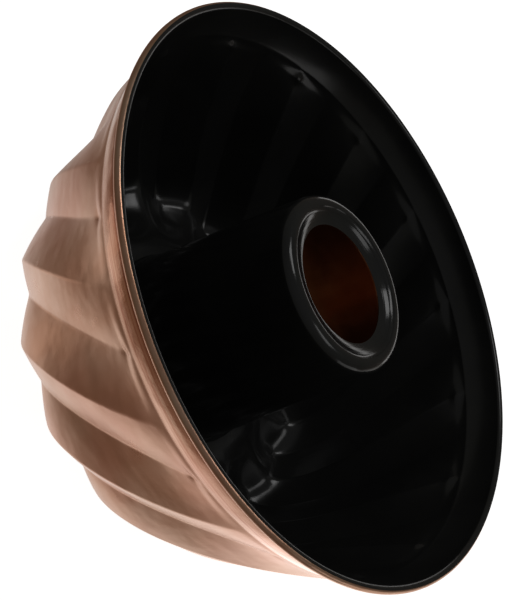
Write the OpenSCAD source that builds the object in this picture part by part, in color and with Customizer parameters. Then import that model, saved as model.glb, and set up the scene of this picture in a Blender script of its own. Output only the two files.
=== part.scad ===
// Bundt pan (gugelhupf mould): a fluted ring pan pressed from steel sheet, with a wired rim,
// a smooth collar, swirled flutes and a drawn centre tube locked into the crown by a folded seam.
// It stands on its crown, opening up. Origin: centre of the circle it rests on. Millimetres.

/* [Pan] */
// Outer diameter over the rolled rim
rim_d = 250; // [230:1:270]
// Height of the rim roll's centre above the surface that the pan stands on
rim_h = 104.4; // [95:0.1:115]
// Thickness of the steel sheet
sheet_t = 0.6; // [0.5:0.05:0.8]
// Thickness of the non-stick lining
lining_t = 0.2; // [0.15:0.05:0.3]

/* [Rim] */
// Outer radius of the rolled rim's section
roll_r = 1.7; // [1.5:0.05:2]
// Height of the smooth collar between the rim roll and the flutes
collar_h = 14.2; // [12:0.1:18]
// How far the collar tapers in over its height
collar_taper = 4.1; // [2:0.1:5]
// How far the collar's bend point, halfway up, lies in from the wall under the roll
collar_bow = 0.8; // [0.5:0.1:1.5]

/* [Flutes] */
// Number of flutes around the pan
flute_count = 15; // [12:1:18]
// How far the flutes swirl from the rim to the crown, in degrees
swirl = 32.8; // [0:0.1:40]
// Direction of the first ridge at the rim, in degrees
ridge_angle = -76.4; // [-180:0.1:180]
// Where the valley lies between two ridges, as a share of the pitch
valley_at = 0.47; // [0.45:0.01:0.55]
// Depth of the flutes on the crown
crown_flute = 5.4; // [4:0.1:7]
// Radius of the circle along which the ridges rest
rest_r = 78; // [72:0.5:84]
// Lean of the ridges away from upright, just under the collar, in degrees
ridge_lean = 10.5; // [8:0.5:14]
// Lean of the valleys away from upright, just under the collar, in degrees
valley_lean = 25; // [20:0.5:28]

/* [Tube] */
// Outer radius of the tube where it passes the crown
tube_foot_r = 43.5; // [41:0.1:45]
// Outer radius of the tube under its shoulder
tube_neck_r = 38.8; // [36:0.1:40]
// Radius of the rounded shoulder
shoulder_r = 4.5; // [3.5:0.1:5.5]
// Height of the shoulder's top above the centre of the rim roll
shoulder_up = 2.6; // [1:0.1:5]
// Radius of the pierced mouth
mouth_r = 25.9; // [24:0.1:28]
// How far the mouth's edge is dished below the top of the shoulder
mouth_drop = 3.4; // [2:0.1:5]

/* [Hidden] */
$fn = 180;

copper = [0.72, 0.45, 0.36];
black = [0.05, 0.05, 0.05];
steel = [0.6, 0.6, 0.6];

// Rim roll: its section's centre, the wire inside it, and where sheet and lining end around it, in degrees
roll_c = [rim_d / 2 - roll_r, rim_h];
wire_play = 0.02;
wire_r = roll_r - sheet_t - wire_play;
wire_facets = 48;
roll_end = -128;
roll_steps = 14;
lining_end = 75;
cover_steps = 3;

// Collar: it runs on a little past the first ring of the flutes, so that the two overlap into one sheet
wall_top_r = roll_c[0] - roll_r + sheet_t;
collar_r = wall_top_r - collar_taper;
collar_z = rim_h - collar_h;
collar_end = collar_z - 0.6;
collar_steps = [0.35, 0.7];
collar_lap = 1.2;
collar_lip = 0.15;

// Flutes: two guide lines, one along a ridge and one along a valley, swept around with the swirl
pitch = 360 / flute_count;
crown_swirl = 6;
side_pull = 0.38 * rim_h;
crown_pull = 18;
flat_cut = 0.55;
pocket_end = 0.05;
seam_z = 11;
seam_r = tube_foot_r + 6;
seam_pull = 15;
seam_slope = [12, -0.8];
ridge_round = 0.04;
crown_round = 0.3;
soften_from = 0.7;
soften_over = 0.4;
side_end = 0.88;
crown_start = 1.09;

// Tube and its folded seam
seam_lap = 4.5;
fold_w = 1.6;
fold_z = seam_z + 3 * sheet_t;
gap = 0.1;
tube_top = rim_h + shoulder_up;
shoulder_c = [tube_neck_r - shoulder_r, tube_top - shoulder_r];
shoulder_steps = 12;
bead_end = 106;
step_start = 110;
step_end = 138;
step_drop = 0.25;
step_steps = 4;
mouth_edge = [0.6, 0.15];

function bezier(p, u) =
    pow(1 - u, 3) * p[0] + 3 * pow(1 - u, 2) * u * p[1] + 3 * (1 - u) * u * u * p[2] + u * u * u * p[3];
function smooth(x) = let (k = min(1, max(0, x))) k * k * (3 - 2 * k);
function side_line(lean, low) = [
    [collar_r, collar_z],
    [collar_r - side_pull * sin(lean), collar_z - side_pull * cos(lean)],
    [rest_r + crown_pull, low],
    [rest_r, low]
];
function crown_line(low) = [
    [rest_r, low],
    [rest_r - seam_pull, low],
    [seam_r, seam_z] + seam_slope,
    [seam_r, seam_z]
];
// Guide line at s: 0 at the collar, 1 on the resting circle, 2 at the seam ring
function guide(lean, low, s) = s <= 1 ? bezier(side_line(lean, low), s) : bezier(crown_line(low), s - 1);

// Height of the zigzag across one flute: 1 on the ridge (f = 0), 0 in the valley; w is its rounding
function softened(x, w) = x < w ? (x * x + w * w) / (2 * w) : x;
function ramp(f) =
    let (g = f - floor(f))
    g < valley_at ? g / valley_at : (1 - g) / (1 - valley_at);
function zigzag(f, w) =
    let (x = ramp(f), y = x < 0.5 ? 1 - softened(x, w) : softened(1 - x, w))
    (y - w / 2) / (1 - w);

// Point of the pressed surface: the flutes grow out of the round collar in short pockets, crisp on the
// side of the pan and softer on its crown
function pressed(s, f) =
    let (
        ridge = guide(ridge_lean, -flat_cut, s),
        valley = guide(valley_lean, crown_flute, s),
        w = ridge_round + (crown_round - ridge_round) * smooth((s - soften_from) / soften_over),
        depth = (1 - zigzag(f, w)) * smooth(s / pocket_end),
        p = ridge + (valley - ridge) * depth,
        q = (rim_h - ridge[1]) / rim_h,
        a = ridge_angle - swirl / 2 * (q + q * q) - crown_swirl * max(0, s - 1) + f * pitch
    )
    [p[0] * cos(a), p[0] * sin(a), max(0, p[1])];

function into_pan(s, f) =
    let (
        e = 0.004,
        s0 = max(0, s - e),
        s1 = min(2, s + e),
        n = cross(pressed(s1, f) - pressed(s0, f), pressed(s, f + e) - pressed(s, f - e))
    )
    n / norm(n);
function layer(s, f, depth) = pressed(s, f) - depth * into_pan(s, f);

// Columns run along the flutes, so that ridges and valleys stay crisp
column_steps = [0, 0.05, 0.18, 0.33, valley_at, 0.61, 0.77, 0.95];
columns = [for (k = [0 : flute_count - 1]) for (c = column_steps) k + c];
rows = concat(
    [for (i = [0 : 3]) i * pocket_end / 3],
    [for (i = [1 : 8]) pocket_end + i * (side_end - pocket_end) / 8],
    [0.95, 1, crown_start],
    [for (i = [1 : 4]) crown_start + i * (2 - crown_start) / 4]
);

function direction(f) = let (p = pressed(0, f)) [p[0], p[1], 0] / norm([p[0], p[1], 0]);
function ring(r, z) = [for (f = columns) r * direction(f) + [0, 0, z]];
function skin(depth, first = 0) = [for (i = [first : len(rows) - 1])
    [for (f = columns) layer(rows[i], f, depth)]];
function reversed(list) = [for (i = [len(list) - 1 : -1 : 0]) list[i]];
function arc(c, r, a0, a1, n) =
    [for (i = [0 : n]) let (a = a0 + (a1 - a0) * i / n) c + r * [cos(a), sin(a)]];

// Curve of the collar, u running from the flutes (0) up to the roll (1), set in from the outside
function collar_at(u, inset) =
    let (
        foot = [collar_r + collar_lip, collar_end],
        bend = [wall_top_r - collar_bow, rim_h - collar_h / 2],
        top = [wall_top_r, rim_h]
    )
    (1 - u) * (1 - u) * foot + 2 * u * (1 - u) * bend + u * u * top - [inset, 0];
function collar_curve(inset) = [for (u = collar_steps) collar_at(u, inset)];

// Cake side of the tube, from the fold on the crown up over the shoulder and in to the mouth
tube_line = concat(
    [[tube_foot_r + fold_w, seam_z + sheet_t], [tube_foot_r + fold_w, fold_z - sheet_t / 2]],
    [[tube_foot_r + fold_w - sheet_t / 2, fold_z], [tube_foot_r, fold_z + sheet_t]],
    arc(shoulder_c, shoulder_r, 0, bead_end, shoulder_steps),
    arc(shoulder_c, shoulder_r - step_drop, step_start, step_end, step_steps),
    [[mouth_r, tube_top - mouth_drop] + mouth_edge, [mouth_r, tube_top - mouth_drop]]
);
function side_normal(p, i) =
    let (a = p[max(0, i - 1)], b = p[min(len(p) - 1, i + 1)], t = (b - a) / norm(b - a)) [t[1], -t[0]];
function beside(p, d) = [for (i = [0 : len(p) - 1]) p[i] + d * side_normal(p, i)];

// Closed loop of rings: each ring is joined to the next, and the last to the first
module ring_solid(rings) {
    n = len(rings[0]);
    m = len(rings);
    points = [for (r = rings) each r];
    faces = [for (i = [0 : m - 1]) for (j = [0 : n - 1])
        let (k = (j + 1) % n, up = ((i + 1) % m) * n)
        each [[i * n + j, i * n + k, up + k], [i * n + j, up + k, up + j]]];
    polyhedron(points, faces, convexity = 10);
}

// Round collar, and the sheet rolled outward over the wire until its edge tucks under
module collar_and_roll() {
    rotate_extrude() polygon(concat(
        [[collar_r + collar_lip, collar_end]],
        collar_curve(0),
        arc(roll_c, roll_r - sheet_t, 180, roll_end, roll_steps),
        arc(roll_c, roll_r, roll_end, 180, roll_steps),
        reversed(collar_curve(sheet_t)),
        [[collar_r - sheet_t - collar_lip, collar_end]]
    ));
}

module fluted_shell() {
    color(copper) {
        collar_and_roll();
        ring_solid(concat(
            [ring(collar_r + 2 * collar_lip, collar_z + collar_lap)],
            skin(0),
            [ring(tube_foot_r + gap, seam_z), ring(tube_foot_r + gap, seam_z + sheet_t)],
            reversed(skin(sheet_t)),
            [ring(collar_r - collar_lip, collar_z + collar_lap)]
        ));
    }
}

// Baked-on layer on the cake side of the shell, carried over the top of the rim roll
module shell_lining() {
    edge = tube_foot_r + fold_w + lining_t + gap;
    lip = collar_r - sheet_t - collar_lip;
    color(black) ring_solid(concat(
        [for (p = arc(roll_c, roll_r, lining_end, 180, cover_steps)) ring(p[0], p[1])],
        [for (p = reversed(collar_curve(sheet_t))) ring(p[0], p[1])],
        [ring(lip, collar_end)],
        skin(sheet_t, 1),
        [ring(edge, seam_z + sheet_t), ring(edge, seam_z + sheet_t + lining_t)],
        reversed(skin(sheet_t + lining_t, 1)),
        [ring(lip - lining_t, collar_end)],
        [for (p = collar_curve(sheet_t + lining_t)) ring(p[0], p[1])],
        [for (p = arc(roll_c, roll_r + lining_t, 180, lining_end, cover_steps)) ring(p[0], p[1])]
    ));
}

module rim_wire() {
    color(steel) rotate_extrude() translate(roll_c) circle(wire_r, $fn = wire_facets);
}

// Drawn cup with its end pierced; the foot is folded over the edge of the crown, above and below
module centre_tube() {
    wall = [for (i = [3 : len(tube_line) - 1]) tube_line[i]];
    flange_r = tube_foot_r + seam_lap;
    color(copper) rotate_extrude() polygon(concat(
        [[flange_r, seam_z - sheet_t], [flange_r, seam_z], [tube_foot_r, seam_z]],
        [[tube_foot_r, seam_z + sheet_t]],
        tube_line,
        reversed(beside(wall, -sheet_t)),
        [[tube_foot_r - sheet_t, seam_z], [tube_foot_r, seam_z - sheet_t]]
    ));
}

// Baked-on layer on the cake side of the tube, down to the edge of the mouth
module tube_lining() {
    color(black) rotate_extrude() polygon(concat(
        tube_line,
        reversed(beside(tube_line, lining_t))
    ));
}

fluted_shell();
shell_lining();
rim_wire();
centre_tube();
tube_lining();
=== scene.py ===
"""Bundt pan: the looks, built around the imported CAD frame. Metres, same frame as the CAD."""
import math

import bpy
import numpy as np
from mathutils import Matrix, Vector


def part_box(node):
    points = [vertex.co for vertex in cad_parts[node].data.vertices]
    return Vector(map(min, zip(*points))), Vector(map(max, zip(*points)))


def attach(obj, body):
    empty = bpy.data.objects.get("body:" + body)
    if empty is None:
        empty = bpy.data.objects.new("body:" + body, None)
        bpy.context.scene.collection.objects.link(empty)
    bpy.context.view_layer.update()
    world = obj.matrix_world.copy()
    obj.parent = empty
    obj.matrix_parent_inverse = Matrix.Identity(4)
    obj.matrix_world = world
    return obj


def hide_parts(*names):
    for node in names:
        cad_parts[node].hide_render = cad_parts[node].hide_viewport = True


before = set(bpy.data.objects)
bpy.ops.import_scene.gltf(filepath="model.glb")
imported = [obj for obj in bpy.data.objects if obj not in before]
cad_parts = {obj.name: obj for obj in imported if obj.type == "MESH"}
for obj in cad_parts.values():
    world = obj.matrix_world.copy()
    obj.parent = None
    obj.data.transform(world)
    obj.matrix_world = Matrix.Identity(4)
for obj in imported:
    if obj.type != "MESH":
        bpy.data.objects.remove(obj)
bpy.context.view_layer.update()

MM = 0.001

# ---- sizes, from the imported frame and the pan's own design ----
shell_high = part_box("fluted_shell")[1]
wire_low, wire_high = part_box("rim_wire")
tube_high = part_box("centre_tube")[1]

# The metal sheet, and the coating inside it
SHEET = 0.6 * MM
LINING = 0.2 * MM

# The rolled rim around the wire; its ends are in degrees
RIM_H = (wire_low[2] + wire_high[2]) / 2
ROLL_R = shell_high[2] - RIM_H
ROLL_C = np.array([shell_high[0] - ROLL_R, RIM_H])
ROLL_END = -128
LINING_END = 75

# The plain collar between the roll and the flutes
COLLAR_H = 14.2 * MM
COLLAR_TAPER = 4.1 * MM
COLLAR_BOW = 0.8 * MM
COLLAR_Z = RIM_H - COLLAR_H
COLLAR_R = ROLL_C[0] - ROLL_R + SHEET - COLLAR_TAPER

# The flutes: their turn around the pan, and how far ridges and valleys lean in on the way down
FLUTES = 15
PITCH = 2 * math.pi / FLUTES
SWIRL = math.radians(32.8)
CROWN_SWIRL = math.radians(6)
RIDGE_ANGLE = math.radians(-76.4)
VALLEY_AT = 0.47
RIDGE_LEAN = math.radians(10.5)
VALLEY_LEAN = math.radians(25)
CROWN_FLUTE = 5.4 * MM
FLAT_CUT = 0.55 * MM
REST_R = 78 * MM

# The pulls of the curves down the side and over the crown, and the rounding of the ridges
SIDE_PULL = 0.38 * RIM_H
CROWN_PULL = 18 * MM
SEAM_PULL = 15 * MM
SEAM_SLOPE = (12 * MM, -0.8 * MM)
POCKET_END = 0.05
RIDGE_ROUND = 0.04
CROWN_ROUND = 0.3
SOFTEN_FROM = 0.7
SOFTEN_OVER = 0.4

# A small dent in each valley under the collar
DENT = 0.7 * MM
DENT_AT = 0.035
DENT_LENGTH = 0.02
DENT_WIDTH = 0.05

# The centre tube, from its seam with the shell to its mouth; the bead's and the step's ends are in degrees
TUBE_FOOT_R = 43.5 * MM
TUBE_NECK_R = 38.8 * MM
SHOULDER_R = 4.5 * MM
TUBE_TOP = tube_high[2]
MOUTH_R = 25.9 * MM
MOUTH_DROP = 3.4 * MM
MOUTH_EDGE = (0.6 * MM, 0.15 * MM)
BEAD_END = 106
STEP_START = 110
STEP_END = 138
STEP_DROP = 0.25 * MM
SEAM_Z = 11 * MM
SEAM_R = TUBE_FOOT_R + 6 * MM
SEAM_LAP = 4.5 * MM
FOLD_W = 1.6 * MM
FOLD_Z = SEAM_Z + 3 * SHEET
GAP = 0.1 * MM

# ---- fineness of the meshes ----
FINE_STEP = 0.006
FINE_STEPS = 5
COARSE_STEPS = 8
POCKET_ROWS = 12
SIDE_ROWS = 90
CROWN_ROWS = 30
COLLAR_STEPS = 16
ROLL_INSIDE_STEPS = 20
ROLL_OUTSIDE_STEPS = 28
ROLL_LINING_STEPS = 12
BEAD_STEPS = 20
STEP_STEPS = 8
NORMAL_STEP = 0.002
SHARP_FROM = math.radians(35)

# ---- wear, colour and painted shade ----
# Pointiness of an edge, from where it starts to be polished to where it is polished most
WEAR_POINTINESS = (0.545, 0.62)
# How softly the band of painted shade, darker streaks on a smoother finish, starts and ends
SHADE_BAND_BLEND = 2 * MM
BLUSH = 1.1

# ---- studio ----
# The camera's distance and aim are in radii of the rim, from the middle of the rim
CAMERA_LENS = 63.24
CAMERA_ELEVATION = math.radians(31.03)
CAMERA_DISTANCE = 3.531
CAMERA_ROLL = math.radians(67.6)
CAMERA_AIM = (-0.0436, -0.4755, 0)
FLOOR_HALF = 8.0
FLOOR_GLOW = 1.13
SOFTBOX_DISTANCE = 1.4
# Each field of the sky: its middle direction, and colours from straight away from it (0) to its middle (1)
SKY_BACKDROP = (0.18, 0.48, -0.86)
BACKDROP_STOPS = [
    (0.0, (0.13, 0.13, 0.13)),
    (0.35, (0.10, 0.10, 0.09)),
    (0.55, (0.08, 0.07, 0.06)),
    (0.72, (0.12, 0.09, 0.07)),
    (0.86, (0.21, 0.145, 0.11)),
    (0.95, (0.90, 0.89, 0.88)),
    (1.0, (1.0, 1.0, 1.0)),
]
SKY_SIDE = (0.66, 0.64, -0.39)
SIDE_STOPS = [
    (0.90, (0.0, 0.0, 0.0)),
    (0.955, (0.65, 0.65, 0.64)),
]
# Name, direction from the pan, width and height in metres, radiance
SOFTBOXES = [
    ("softbox_left", (-0.39, 0.11, 0.92), (0.46, 0.46), 3.0),
    ("softbox_right", (0.40, 0.10, 0.91), (0.44, 0.44), 1.6),
    ("softbox_low", (-0.40, -0.12, -0.91), (0.40, 0.40), 0.5),
    ("softbox_side", (0.95, 0.20, 0.21), (0.75, 0.42), 0.6),
    ("softbox_back", (0.02, 0.98, 0.12), (1.50, 0.34), 0.9),
]


# ---- the pressed surface ----
def bezier(p, u):
    """The points at shares u along the cubic curve with the four control points p."""
    u = u[:, None]
    v = 1 - u
    p = np.array(p)
    return v ** 3 * p[0] + 3 * v * v * u * p[1] + 3 * v * u * u * p[2] + u ** 3 * p[3]


def smooth(x):
    k = np.clip(x, 0, 1)
    return k * k * (3 - 2 * k)


def guide(lean, low, s):
    """Radius and height along a ridge or valley.

    s is 0 at the collar, 1 where the pan rests and 2 at the seam.
    """
    side = [
        (COLLAR_R, COLLAR_Z),
        (COLLAR_R - SIDE_PULL * math.sin(lean), COLLAR_Z - SIDE_PULL * math.cos(lean)),
        (REST_R + CROWN_PULL, low),
        (REST_R, low),
    ]
    crown = [
        (REST_R, low),
        (REST_R - SEAM_PULL, low),
        (SEAM_R + SEAM_SLOPE[0], SEAM_Z + SEAM_SLOPE[1]),
        (SEAM_R, SEAM_Z),
    ]
    on_side = bezier(side, np.clip(s, 0, 1))
    on_crown = bezier(crown, np.clip(s - 1, 0, 1))
    return np.where((s <= 1)[:, None], on_side, on_crown)


def softened(x, w):
    """x, but rounded off to w / 2 near zero."""
    return np.where(x < w, (x * x + w * w) / (2 * w), x)


def zigzag(f, w):
    """Height across a flute: 1 on the ridge (f = 0), 0 in the valley; w is the rounding of both."""
    g = f % 1
    x = np.where(g < VALLEY_AT, g / VALLEY_AT, (1 - g) / (1 - VALLEY_AT))
    y = np.where(x < 0.5, 1 - softened(x, w), softened(1 - x, w))
    return (y - w / 2) / (1 - w)


def pressed(s, f):
    """The outer surface at each row s and each column f, which counts flutes around the pan."""
    ridge = guide(RIDGE_LEAN, -FLAT_CUT, s)
    valley = guide(VALLEY_LEAN, CROWN_FLUTE, s)
    w = RIDGE_ROUND + (CROWN_ROUND - RIDGE_ROUND) * smooth((s - SOFTEN_FROM) / SOFTEN_OVER)
    depth = smooth(s / POCKET_END)[:, None] * (1 - zigzag(f[None], w[:, None]))
    r = ridge[:, :1] + (valley - ridge)[:, :1] * depth
    z = ridge[:, 1:] + (valley - ridge)[:, 1:] * depth
    q = (RIM_H - ridge[:, 1]) / RIM_H
    turn = RIDGE_ANGLE - SWIRL / 2 * (q + q * q) - CROWN_SWIRL * np.clip(s - 1, 0, 1)
    a = turn[:, None] + f[None] * PITCH
    off_valley = (f % 1 - VALLEY_AT) / DENT_WIDTH
    r = r - DENT * np.exp(-(((s - DENT_AT) / DENT_LENGTH) ** 2)[:, None] - (off_valley ** 2)[None])
    return np.stack([r * np.cos(a), r * np.sin(a), np.maximum(z, 0)], -1)


def layers(s, f, depths):
    """The pressed surface set back by each depth along its own normal."""
    base = pressed(s, f)
    along = pressed(np.minimum(s + NORMAL_STEP, 2), f) - pressed(np.maximum(s - NORMAL_STEP, 0), f)
    around = pressed(s, f + NORMAL_STEP) - pressed(s, f - NORMAL_STEP)
    n = np.cross(along, around)
    n /= np.linalg.norm(n, axis=-1, keepdims=True)
    return [base - d * n for d in depths]


fine = np.arange(-FINE_STEPS, FINE_STEPS + 1) * FINE_STEP
one_flute = np.concatenate([
    fine,
    np.linspace(fine[-1], VALLEY_AT + fine[0], COARSE_STEPS)[1:-1],
    VALLEY_AT + fine,
    np.linspace(VALLEY_AT + fine[-1], 1 + fine[0], COARSE_STEPS)[1:-1],
])
f_columns = (np.arange(FLUTES)[:, None] + one_flute[None]).ravel()
COLUMNS = len(f_columns)
s_rows = np.concatenate([
    np.linspace(0, POCKET_END, POCKET_ROWS),
    np.linspace(POCKET_END, 1, SIDE_ROWS)[1:],
    np.linspace(1, 2, CROWN_ROWS)[1:],
])
start = pressed(np.zeros(1), f_columns)[0]
heading = np.arctan2(start[:, 1], start[:, 0])


def ring(r, z):
    """A level circle of points, each in line with its column of the pressed surface."""
    return np.stack([r * np.cos(heading), r * np.sin(heading), np.full(COLUMNS, z)], -1)


def arc(middle, radius, first, last, steps):
    """Points on a circle from one angle to another, in degrees."""
    angles = np.radians(np.linspace(first, last, steps + 1))
    return [(middle[0] + radius * math.cos(a), middle[1] + radius * math.sin(a)) for a in angles]


def collar(inset):
    """The collar's curve from the flutes up to the roll, set in from the outside."""
    foot = np.array([COLLAR_R, COLLAR_Z])
    top = np.array([ROLL_C[0] - ROLL_R + SHEET, RIM_H])
    bend = top - [COLLAR_BOW, COLLAR_H / 2]
    u = np.linspace(0, 1, COLLAR_STEPS + 1)[:, None]
    curve = (1 - u) ** 2 * foot + 2 * u * (1 - u) * bend + u * u * top
    return [(r - inset, z) for r, z in curve]


def rings(profile):
    return [ring(r, z) for r, z in profile]


def loop_mesh(name, ring_list, material, node):
    """A closed solid from rings: each is joined to the next, and the last to the first."""
    grid = np.array(ring_list)
    m, n = grid.shape[:2]
    i, j = np.meshgrid(np.arange(m), np.arange(n), indexing="ij")
    k = (j + 1) % n
    up = (i + 1) % m
    quads = np.stack([i * n + j, up * n + j, up * n + k, i * n + k], -1).reshape(-1, 4)
    mesh = bpy.data.meshes.new(name)
    mesh.from_pydata(grid.reshape(-1, 3).tolist(), [], quads.tolist())
    mesh.polygons.foreach_set("use_smooth", [True] * len(mesh.polygons))
    mesh.set_sharp_from_angle(angle=SHARP_FROM)
    mesh.update()
    obj = bpy.data.objects.new(name, mesh)
    bpy.context.collection.objects.link(obj)
    mesh.materials.append(material)
    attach(obj, "root")
    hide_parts(node)
    return obj


# ---- materials ----
def new_material(name):
    mat = bpy.data.materials.new(name)
    mat.use_nodes = True
    tree = mat.node_tree
    return mat, tree.nodes, tree.links, tree.nodes["Principled BSDF"]


def noise(nodes, links, scale, detail, stretch=(1, 1, 1)):
    coords = nodes.new("ShaderNodeTexCoord")
    mapping = nodes.new("ShaderNodeMapping")
    mapping.inputs["Scale"].default_value = stretch
    tex = nodes.new("ShaderNodeTexNoise")
    tex.inputs["Scale"].default_value = scale
    tex.inputs["Detail"].default_value = detail
    links.new(coords.outputs["Object"], mapping.inputs["Vector"])
    links.new(mapping.outputs["Vector"], tex.inputs["Vector"])
    return tex.outputs["Fac"]


def lines_around(nodes, links, scale):
    """Fine lines around the pan's axis, as a spinning tool or a cloth leaves them."""
    coords = nodes.new("ShaderNodeTexCoord")
    level = nodes.new("ShaderNodeVectorMath")
    level.operation = "MULTIPLY"
    level.inputs[1].default_value = (1, 1, 0)
    radius = nodes.new("ShaderNodeVectorMath")
    radius.operation = "LENGTH"
    tex = nodes.new("ShaderNodeTexNoise")
    tex.noise_dimensions = "1D"
    tex.inputs["Scale"].default_value = scale
    links.new(coords.outputs["Object"], level.inputs[0])
    links.new(level.outputs["Vector"], radius.inputs[0])
    links.new(radius.outputs["Value"], tex.inputs["W"])
    return tex.outputs["Fac"]


def ramp(nodes, links, source, stops):
    node = nodes.new("ShaderNodeValToRGB")
    while len(node.color_ramp.elements) < len(stops):
        node.color_ramp.elements.new(0.5)
    for element, (place, colour) in zip(node.color_ramp.elements, stops):
        element.position = place
        element.color = (*colour, 1)
    links.new(source, node.inputs["Fac"])
    return node.outputs["Color"]


def spread(nodes, links, source, low, high, start=0, stop=1):
    """The source's range from start to stop, spread from low to high."""
    node = nodes.new("ShaderNodeMapRange")
    node.inputs["From Min"].default_value = start
    node.inputs["From Max"].default_value = stop
    node.inputs["To Min"].default_value = low
    node.inputs["To Max"].default_value = high
    links.new(source, node.inputs["Value"])
    return node.outputs["Result"]


def mixed(nodes, links, share, first, second):
    """The first colour, with a share of the second, which is a plain colour."""
    node = nodes.new("ShaderNodeMix")
    node.data_type = "RGBA"
    links.new(share, node.inputs["Factor"])
    links.new(first, node.inputs["A"])
    node.inputs["B"].default_value = (*second, 1)
    return node.outputs["Result"]


def added(nodes, links, first, second, weight):
    """The first value plus the second times the weight."""
    node = nodes.new("ShaderNodeMath")
    node.operation = "MULTIPLY_ADD"
    links.new(second, node.inputs[0])
    node.inputs[1].default_value = weight
    links.new(first, node.inputs[2])
    return node.outputs["Value"]


def worn_edges(nodes, links, most):
    """0 on flat metal, up to `most` on ridges and rims, where handling polishes it."""
    geometry = nodes.new("ShaderNodeNewGeometry")
    return spread(nodes, links, geometry.outputs["Pointiness"], 0, most, *WEAR_POINTINESS)


def product(nodes, links, first, second):
    node = nodes.new("ShaderNodeMath")
    node.operation = "MULTIPLY"
    links.new(first, node.inputs[0])
    links.new(second, node.inputs[1])
    return node.outputs["Value"]


def between(nodes, links, low, high, blend):
    """1 between two heights of the pan, 0 outside them."""
    coords = nodes.new("ShaderNodeTexCoord")
    split = nodes.new("ShaderNodeSeparateXYZ")
    links.new(coords.outputs["Object"], split.inputs["Vector"])
    rising = spread(nodes, links, split.outputs["Z"], 0, 1, low, low + blend)
    falling = spread(nodes, links, split.outputs["Z"], 1, 0, high - blend, high)
    return product(nodes, links, rising, falling)


def add_bump(nodes, links, shader, source, strength, distance):
    node = nodes.new("ShaderNodeBump")
    node.inputs["Strength"].default_value = strength
    node.inputs["Distance"].default_value = distance
    links.new(source, node.inputs["Height"])
    links.new(node.outputs["Normal"], shader.inputs["Normal"])


def satin_copper(name, dark, light, worn, shaded_band):
    """Pressed copper-coloured metal; between the two heights of the band it is smoother, and darker
    streaks there are painted shade.
    """
    mat, nodes, links, shader = new_material(name)
    shader.inputs["Metallic"].default_value = 1
    wear = worn_edges(nodes, links, most=0.5)
    grain = noise(nodes, links, scale=90, detail=5, stretch=(1, 1, 0.2))
    blotch = added(nodes, links, noise(nodes, links, scale=18, detail=3), grain, weight=0.5)
    tone = ramp(nodes, links, blotch, [(0.6, dark), (0.9, light)])
    # Painted shade: darker streaks, towards the dark tone squared, over the band between the two heights
    shade_and_polish = between(nodes, links, *shaded_band, SHADE_BAND_BLEND)
    lines = noise(nodes, links, scale=14, detail=4, stretch=(1, 1, 45))
    shade_streaks = spread(nodes, links, lines, low=0.1, high=0.75, start=0.40, stop=0.64)
    tone = mixed(nodes, links, product(nodes, links, shade_and_polish, shade_streaks), tone, [c * c for c in dark])
    clouds = noise(nodes, links, scale=22, detail=2)
    blush = spread(nodes, links, clouds, low=0, high=0.6, start=0.48, stop=0.7)
    tone = mixed(nodes, links, blush, tone, (dark[0] * BLUSH, dark[1], dark[2] * BLUSH))
    links.new(mixed(nodes, links, wear, tone, worn), shader.inputs["Base Color"])
    haze = noise(nodes, links, scale=35, detail=4)
    rough = spread(nodes, links, haze, low=0.27, high=0.37, start=0.3, stop=0.7)
    smoother = added(nodes, links, rough, shade_and_polish, weight=-0.17)
    links.new(added(nodes, links, smoother, wear, weight=-0.12), shader.inputs["Roughness"])
    dents = noise(nodes, links, scale=30, detail=3)
    relief = added(nodes, links, dents, noise(nodes, links, scale=900, detail=3), weight=0.025)
    add_bump(nodes, links, shader, relief, strength=0.6, distance=1.8 * MM)
    return mat


def black_nonstick(name, roughness, line_weight):
    """A glossy black coating; line_weight is how much of its relief is fine lines around the pan."""
    mat, nodes, links, shader = new_material(name)
    tint = noise(nodes, links, scale=30, detail=3)
    tone = ramp(nodes, links, tint, [(0.3, (0.013, 0.013, 0.013)), (0.7, (0.020, 0.020, 0.0195))])
    wear = worn_edges(nodes, links, most=0.3)
    links.new(mixed(nodes, links, wear, tone, (0.03, 0.03, 0.03)), shader.inputs["Base Color"])
    haze = noise(nodes, links, scale=25, detail=3)
    rough = spread(nodes, links, haze, low=roughness, high=roughness + 0.08, start=0.3, stop=0.7)
    links.new(added(nodes, links, rough, wear, weight=0.1), shader.inputs["Roughness"])
    shader.inputs["Specular IOR Level"].default_value = 0.4
    waves = noise(nodes, links, scale=60, detail=2)
    relief = added(nodes, links, waves, noise(nodes, links, scale=1200, detail=2), weight=0.06)
    relief = added(nodes, links, relief, lines_around(nodes, links, scale=900), line_weight)
    add_bump(nodes, links, shader, relief, strength=0.12, distance=0.8 * MM)
    return mat


def drawn_steel(name):
    mat, nodes, links, shader = new_material(name)
    shader.inputs["Metallic"].default_value = 1
    tint = noise(nodes, links, scale=60, detail=3)
    tone = ramp(nodes, links, tint, [(0.3, (0.5, 0.5, 0.52)), (0.7, (0.6, 0.6, 0.61))])
    wear = worn_edges(nodes, links, most=0.4)
    links.new(mixed(nodes, links, wear, tone, (0.7, 0.7, 0.7)), shader.inputs["Base Color"])
    rough = spread(nodes, links, noise(nodes, links, scale=300, detail=3), low=0.25, high=0.4)
    links.new(rough, shader.inputs["Roughness"])
    scratches = noise(nodes, links, scale=1500, detail=2)
    add_bump(nodes, links, shader, scratches, strength=0.1, distance=0.1 * MM)
    return mat


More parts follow.
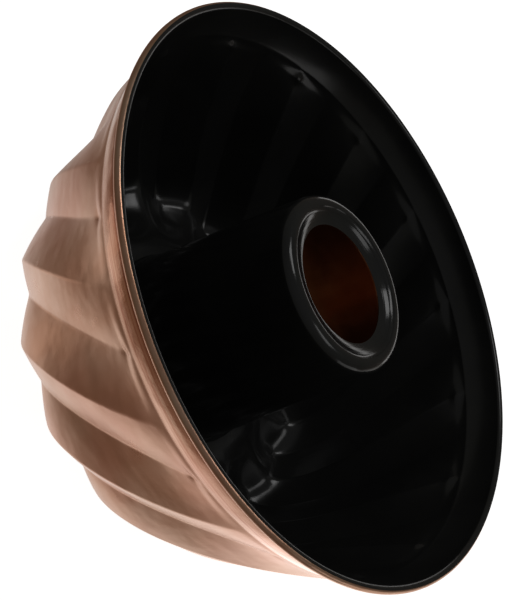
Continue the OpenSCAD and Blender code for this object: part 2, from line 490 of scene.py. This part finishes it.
# ---- pieces ----
def build_shell():
    outer, inner = layers(s_rows, f_columns, [0, SHEET])
    hole = TUBE_FOOT_R + GAP
    ring_list = (
        rings(collar(0)[1:-1])
        + rings(arc(ROLL_C, ROLL_R - SHEET, 180, ROLL_END, ROLL_INSIDE_STEPS))
        + rings(arc(ROLL_C, ROLL_R, ROLL_END, 180, ROLL_OUTSIDE_STEPS)[:-1])
        + rings(collar(SHEET)[:0:-1])
        + list(inner)
        + rings([(hole, SEAM_Z + SHEET), (hole, SEAM_Z)])
        + list(outer[::-1])
    )
    copper = satin_copper(
        "satin_copper",
        dark=(0.61, 0.325, 0.20),
        light=(0.73, 0.46, 0.325),
        worn=(0.80, 0.56, 0.43),
        # The collar: painted shade under the rolled rim, as darker streaks, on a smoother finish
        shaded_band=(COLLAR_Z, RIM_H - ROLL_R + MM),
    )
    return loop_mesh("shell", ring_list, copper, "fluted_shell")


def build_shell_lining():
    outer, inner = layers(s_rows, f_columns, [SHEET, SHEET + LINING])
    edge = TUBE_FOOT_R + FOLD_W + LINING + GAP
    ring_list = (
        rings(arc(ROLL_C, ROLL_R, LINING_END, 180, ROLL_LINING_STEPS)[:-1])
        + rings(collar(SHEET)[:0:-1])
        + list(outer)
        + rings([(edge, SEAM_Z + SHEET), (edge, SEAM_Z + SHEET + LINING)])
        + list(inner[::-1])
        + rings(collar(SHEET + LINING)[1:-1])
        + rings(arc(ROLL_C, ROLL_R + LINING, 180, LINING_END, ROLL_LINING_STEPS))
    )
    black = black_nonstick("black_nonstick", roughness=0.16, line_weight=0.02)
    return loop_mesh("shell_nonstick", ring_list, black, "shell_lining")


def tube_profile():
    """The tube's outer face, from the seam with the shell up and over to the mouth."""
    shoulder = (TUBE_NECK_R - SHOULDER_R, TUBE_TOP - SHOULDER_R)
    mouth = (MOUTH_R, TUBE_TOP - MOUTH_DROP)
    return (
        [(TUBE_FOOT_R + FOLD_W, SEAM_Z + SHEET), (TUBE_FOOT_R + FOLD_W, FOLD_Z - SHEET / 2)]
        + [(TUBE_FOOT_R + FOLD_W - SHEET / 2, FOLD_Z), (TUBE_FOOT_R, FOLD_Z + SHEET)]
        + arc(shoulder, SHOULDER_R, 0, BEAD_END, BEAD_STEPS)
        + arc(shoulder, SHOULDER_R - STEP_DROP, STEP_START, STEP_END, STEP_STEPS)
        + [(mouth[0] + MOUTH_EDGE[0], mouth[1] + MOUTH_EDGE[1]), mouth]
    )


def beside(profile, d):
    """The profile moved sideways by d, to the right of the way it runs."""
    p = np.array(profile)
    t = np.gradient(p, axis=0)
    t[0] = p[1] - p[0]
    t[-1] = p[-1] - p[-2]
    t /= np.linalg.norm(t, axis=1, keepdims=True)
    return [tuple(q) for q in p + d * np.stack([t[:, 1], -t[:, 0]], -1)]


def build_tube():
    path = tube_profile()
    flange_r = TUBE_FOOT_R + SEAM_LAP
    profile = (
        [(flange_r, SEAM_Z - SHEET), (flange_r, SEAM_Z)]
        + [(TUBE_FOOT_R, SEAM_Z), (TUBE_FOOT_R, SEAM_Z + SHEET)]
        + path
        + beside(path[3:], -SHEET)[::-1]
        + [(TUBE_FOOT_R - SHEET, SEAM_Z), (TUBE_FOOT_R, SEAM_Z - SHEET)]
    )
    # The same copper as the shell's outside, painted far darker as the shade inside the bore
    copper = satin_copper(
        "tube_copper_painted_shade",
        dark=(0.12, 0.045, 0.017),
        light=(0.22, 0.095, 0.04),
        worn=(0.3, 0.15, 0.08),
        # Painted shade deeper in the bore: darker streaks over the lower third of the tube, on a smoother
        # finish
        shaded_band=(SEAM_Z, TUBE_TOP / 3),
    )
    return loop_mesh("tube", rings(profile), copper, "centre_tube")


def build_tube_lining():
    path = tube_profile()
    ring_list = rings(path + beside(path, LINING)[::-1])
    black = black_nonstick("tube_black", roughness=0.10, line_weight=0.35)
    return loop_mesh("tube_nonstick", ring_list, black, "tube_lining")


# ---- stage ----
def build_floor():
    corners = [(-1, -1), (1, -1), (1, 1), (-1, 1)]
    mesh = bpy.data.meshes.new("floor")
    mesh.from_pydata([(x * FLOOR_HALF, y * FLOOR_HALF, 0) for x, y in corners], [], [(0, 1, 2, 3)])
    floor = bpy.data.objects.new("floor", mesh)
    bpy.context.collection.objects.link(floor)
    mat, nodes, links, shader = new_material("floor_pale")
    tint = noise(nodes, links, scale=3, detail=3)
    paper = ramp(nodes, links, tint, [(0.3, (0.80, 0.80, 0.80)), (0.7, (0.84, 0.84, 0.84))])
    links.new(paper, shader.inputs["Base Color"])
    shader.inputs["Roughness"].default_value = 0.9
    shader.inputs["Specular IOR Level"].default_value = 0
    links.new(paper, shader.inputs["Emission Color"])
    shader.inputs["Emission Strength"].default_value = FLOOR_GLOW
    mesh.materials.append(mat)
    floor.visible_glossy = False
    floor.visible_diffuse = False
    floor.visible_shadow = False


def softbox(name, direction, width, height, radiance):
    """A flat light of the given radiance, aimed at the pan."""
    data = bpy.data.lights.new(name, "AREA")
    data.shape = "RECTANGLE"
    data.size = width
    data.size_y = height
    data.energy = radiance * math.pi * width * height
    light = bpy.data.objects.new(name, data)
    middle = Vector((0, 0, RIM_H / 2))
    light.location = middle + Vector(direction).normalized() * SOFTBOX_DISTANCE
    light.rotation_euler = (middle - light.location).to_track_quat("-Z", "Y").to_euler()
    bpy.context.collection.objects.link(light)


def sky_field(nodes, links, direction, stops):
    """The sky's colour by the angle from one direction."""
    coords = nodes.new("ShaderNodeTexCoord")
    dot = nodes.new("ShaderNodeVectorMath")
    dot.operation = "DOT_PRODUCT"
    links.new(coords.outputs["Generated"], dot.inputs[0])
    dot.inputs[1].default_value = Vector(direction).normalized()
    nearness = spread(nodes, links, dot.outputs["Value"], low=0, high=1, start=-1, stop=1)
    return ramp(nodes, links, nearness, stops)


def build_world():
    """A plain studio, dim and warm, with a pale backdrop below and a dimmer pale field at the side."""
    world = bpy.data.worlds.new("studio")
    world.use_nodes = True
    nodes, links = world.node_tree.nodes, world.node_tree.links
    total = nodes.new("ShaderNodeVectorMath")
    total.operation = "ADD"
    links.new(sky_field(nodes, links, SKY_BACKDROP, BACKDROP_STOPS), total.inputs[0])
    links.new(sky_field(nodes, links, SKY_SIDE, SIDE_STOPS), total.inputs[1])
    links.new(total.outputs["Vector"], nodes["Background"].inputs["Color"])
    bpy.context.scene.world = world


def build_lights():
    for name, direction, (width, height), radiance in SOFTBOXES:
        softbox(name, direction, width, height, radiance)


def build_camera():
    """A little above the rim, rolled so that the pan's axis lies across the picture."""
    data = bpy.data.cameras.new("camera")
    data.sensor_width = 36
    data.lens = CAMERA_LENS
    data.clip_end = 50
    rim = ROLL_C[0]
    centre = Vector((0, 0, RIM_H))
    outward = Vector((0, -math.cos(CAMERA_ELEVATION), math.sin(CAMERA_ELEVATION)))
    place = centre + outward * CAMERA_DISTANCE * rim
    aim = centre + Vector(CAMERA_AIM) * rim
    forward = (aim - place).normalized()
    base = forward.to_track_quat("-Z", "Y").to_matrix().to_4x4()
    camera = bpy.data.objects.new("camera", data)
    camera.matrix_world = Matrix.Translation(place) @ base @ Matrix.Rotation(CAMERA_ROLL, 4, "Z")
    bpy.context.collection.objects.link(camera)
    bpy.context.scene.camera = camera


build_shell()
build_shell_lining()
build_tube()
build_tube_lining()
wire_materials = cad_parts["rim_wire"].data.materials
wire_materials.clear()
wire_materials.append(drawn_steel("drawn_steel"))
build_floor()
build_world()
build_lights()
build_camera()
bpy.context.scene.view_settings.view_transform = "Standard"
